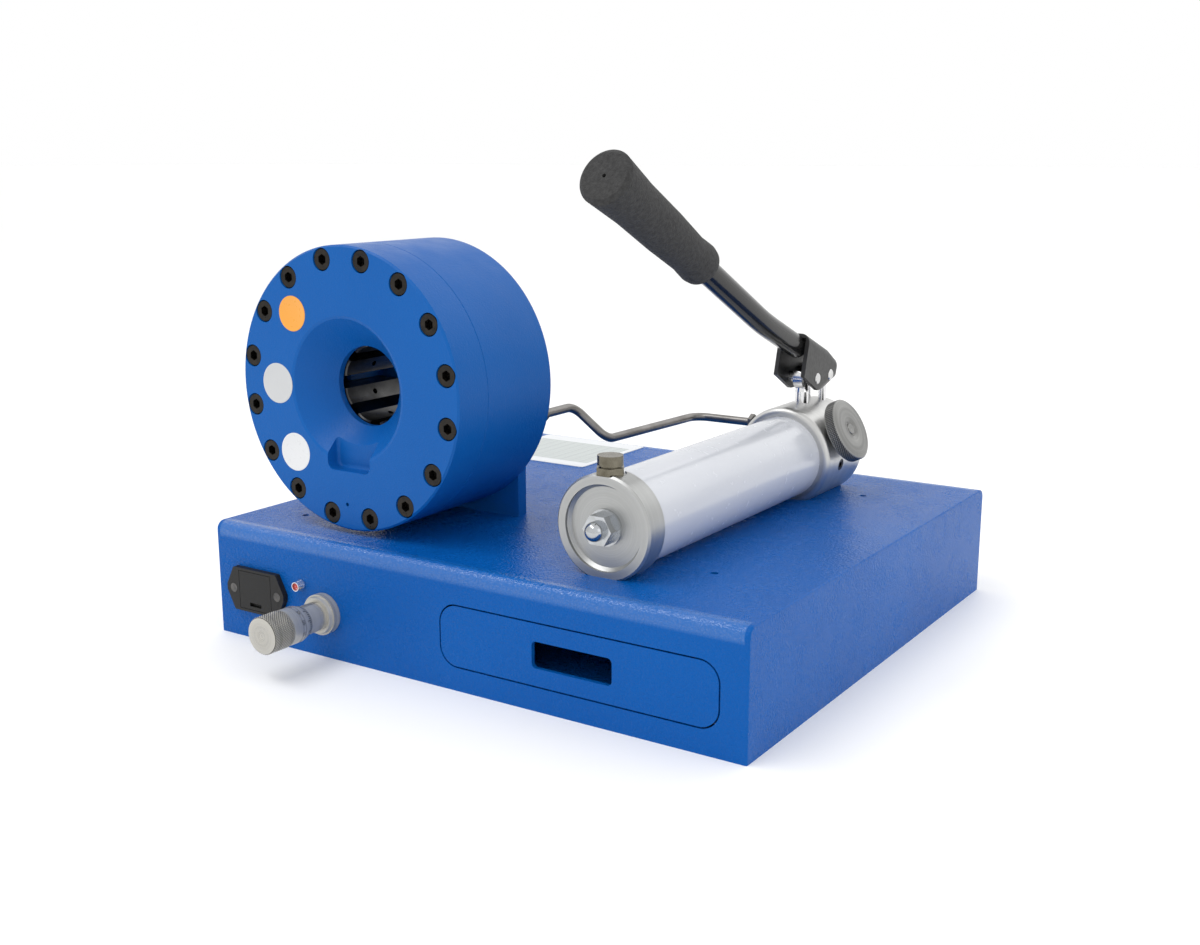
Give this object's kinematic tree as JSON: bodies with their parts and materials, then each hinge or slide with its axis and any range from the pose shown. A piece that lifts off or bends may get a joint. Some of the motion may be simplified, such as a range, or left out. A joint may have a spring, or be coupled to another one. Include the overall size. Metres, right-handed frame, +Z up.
{
  "type": "hose crimping machine",
  "caption": "Bench-top hydraulic hose crimper: round head with radial dies, hand pump with lever, drawer and diameter micrometer on a sheet-metal cabinet",
  "frame": {"origin": "centre of the underside of the cabinet, on the resting plane", "axes": "X runs right along the front, Y to the rear, Z up"},
  "size_m": [0.4, 0.4266, 0.3189],
  "materials": {
    "blue_powder": "textured powder coat",
    "blue_paint": "semi-gloss paint",
    "black_screws": "black oxide",
    "jaw_steel": "dark hardened steel",
    "die_steel": "dark ground steel",
    "ring_steel": "ground steel",
    "turned_aluminium": "satin, turned",
    "ground_steel": "ground",
    "white_enamel": "gloss",
    "chrome": "polished",
    "nickel_brass": "nickel plated",
    "bright_steel": "drawn",
    "black_gloss": "gloss",
    "foam": "matt closed-cell foam",
    "black_plastic": "moulded",
    "contact_metal": "plated",
    "red_lens": "clear red",
    "galvanised": "zinc plated",
    "spring_steel": "bright wire",
    "seal_rubber": "moulded"
  },
  "bodies": {
    "frame": {"base_cover": "blue_powder", "end_panels": "blue_powder", "head_cover": "blue_paint", "head_body": "blue_paint", "head_foot_plate": "blue_paint", "head_screws": "black_screws", "mount_screws": "black_screws", "bottom_screws": "black_screws", "relief_plug": "black_screws", "inlet_screws": "black_screws", "micrometer_flange": "turned_aluminium", "micrometer_sleeve": "turned_aluminium", "pump_front_cap": "turned_aluminium", "pump_block": "turned_aluminium", "tie_rod": "ground_steel", "reservoir_tube": "white_enamel", "fulcrum_links": "chrome", "lamp_bezel": "chrome", "cap_nut": "chrome", "filler_plug": "nickel_brass", "pressure_pipe": "bright_steel", "pipe_fittings": "bright_steel", "power_inlet": "black_plastic", "inlet_contacts": "contact_metal", "lamp_lens": "red_lens", "bottom_plate": "galvanised", "drawer_runners": "galvanised"},
    "drawer": {"drawer_front": "blue_powder", "drawer_tray": "galvanised"},
    "fuse": {"fuse_carrier": "black_plastic"},
    "spindle": {"micrometer_spindle": "ground_steel"},
    "thimble": {"micrometer_thimble": "turned_aluminium"},
    "ring": {"ring_piston": "ring_steel", "piston_seals": "seal_rubber"},
    "release": {"release_knob": "turned_aluminium"},
    "lever": {"lever_clevis": "black_gloss", "clevis_pins": "ground_steel", "lever_tube": "black_gloss", "foam_grip": "foam"},
    "plunger": {"pump_piston": "chrome"},
    "jaw_1": {"master_jaw_1": "jaw_steel", "die_segment_1": "die_steel"},
    "jaw_2": {"master_jaw_2": "jaw_steel", "die_segment_2": "die_steel", "jaw_springs_2": "spring_steel"},
    "jaw_3": {"master_jaw_3": "jaw_steel", "die_segment_3": "die_steel"},
    "jaw_4": {"master_jaw_4": "jaw_steel", "die_segment_4": "die_steel", "jaw_springs_4": "spring_steel"},
    "jaw_5": {"master_jaw_5": "jaw_steel", "die_segment_5": "die_steel"},
    "jaw_6": {"master_jaw_6": "jaw_steel", "die_segment_6": "die_steel", "jaw_springs_6": "spring_steel"},
    "jaw_7": {"master_jaw_7": "jaw_steel", "die_segment_7": "die_steel"},
    "jaw_8": {"master_jaw_8": "jaw_steel", "die_segment_8": "die_steel", "jaw_springs_8": "spring_steel"}
  },
  "joints": [
    {"name": "drawer_slide", "type": "slide", "parent": "frame", "child": "drawer", "axis": [0, -1, 0], "range_m": [0, 0.18]},
    {"name": "fuse_slide", "type": "slide", "parent": "frame", "child": "fuse", "axis": [0, -1, 0], "range_m": [0, 0.012]},
    {"name": "spindle_slide", "type": "slide", "parent": "frame", "child": "spindle", "axis": [0, -1, 0], "range_m": [-0.006, 0.006]},
    {"name": "thimble_turn", "type": "hinge", "parent": "spindle", "child": "thimble", "pos_m": [-0.1035, -0.186, 0.03], "axis": [0, -1, 0], "range_deg": [-4320, 4320]},
    {"name": "ring_piston_slide", "type": "slide", "parent": "frame", "child": "ring", "axis": [0, -1, 0], "range_m": [0, 0.02]},
    {"name": "jaw_1_slide", "type": "slide", "parent": "frame", "child": "jaw_1", "axis": [-0.9239, 0, -0.3827], "range_m": [0, 0.01]},
    {"name": "jaw_2_slide", "type": "slide", "parent": "frame", "child": "jaw_2", "axis": [-0.3827, 0, -0.9239], "range_m": [0, 0.01]},
    {"name": "jaw_3_slide", "type": "slide", "parent": "frame", "child": "jaw_3", "axis": [0.3827, 0, -0.9239], "range_m": [0, 0.01]},
    {"name": "jaw_4_slide", "type": "slide", "parent": "frame", "child": "jaw_4", "axis": [0.9239, 0, -0.3827], "range_m": [0, 0.01]},
    {"name": "jaw_5_slide", "type": "slide", "parent": "frame", "child": "jaw_5", "axis": [0.9239, 0, 0.3827], "range_m": [0, 0.01]},
    {"name": "jaw_6_slide", "type": "slide", "parent": "frame", "child": "jaw_6", "axis": [0.3827, 0, 0.9239], "range_m": [0, 0.01]},
    {"name": "jaw_7_slide", "type": "slide", "parent": "frame", "child": "jaw_7", "axis": [-0.3827, 0, 0.9239], "range_m": [0, 0.01]},
    {"name": "jaw_8_slide", "type": "slide", "parent": "frame", "child": "jaw_8", "axis": [-0.9239, 0, 0.3827], "range_m": [0, 0.01]},
    {"name": "release_turn", "type": "hinge", "parent": "frame", "child": "release", "pos_m": [0.12062, 0.106, 0.12338], "axis": [0.891, 0, 0.454], "range_deg": [0, 540]},
    {"name": "pump_lever", "type": "hinge", "parent": "frame", "child": "lever", "pos_m": [0.0873, 0.1325, 0.1599], "axis": [1, 0, 0], "range_deg": [-15, 22]},
    {"name": "pump_piston_slide", "type": "slide", "parent": "frame", "child": "plunger", "axis": [0, 0, -1], "range_m": [-0.0066, 0.0086]}
  ],
  "couplings": [
    {"joint": "thimble_turn", "follows": "spindle_slide", "rad_per_m": 12566},
    {"joint": "jaw_1_slide", "follows": "ring_piston_slide", "ratio": 0.5},
    {"joint": "jaw_2_slide", "follows": "ring_piston_slide", "ratio": 0.5},
    {"joint": "jaw_3_slide", "follows": "ring_piston_slide", "ratio": 0.5},
    {"joint": "jaw_4_slide", "follows": "ring_piston_slide", "ratio": 0.5},
    {"joint": "jaw_5_slide", "follows": "ring_piston_slide", "ratio": 0.5},
    {"joint": "jaw_6_slide", "follows": "ring_piston_slide", "ratio": 0.5},
    {"joint": "jaw_7_slide", "follows": "ring_piston_slide", "ratio": 0.5},
    {"joint": "jaw_8_slide", "follows": "ring_piston_slide", "ratio": 0.5},
    {"joint": "pump_piston_slide", "follows": "pump_lever", "m_per_rad": 0.0219}
  ]
}
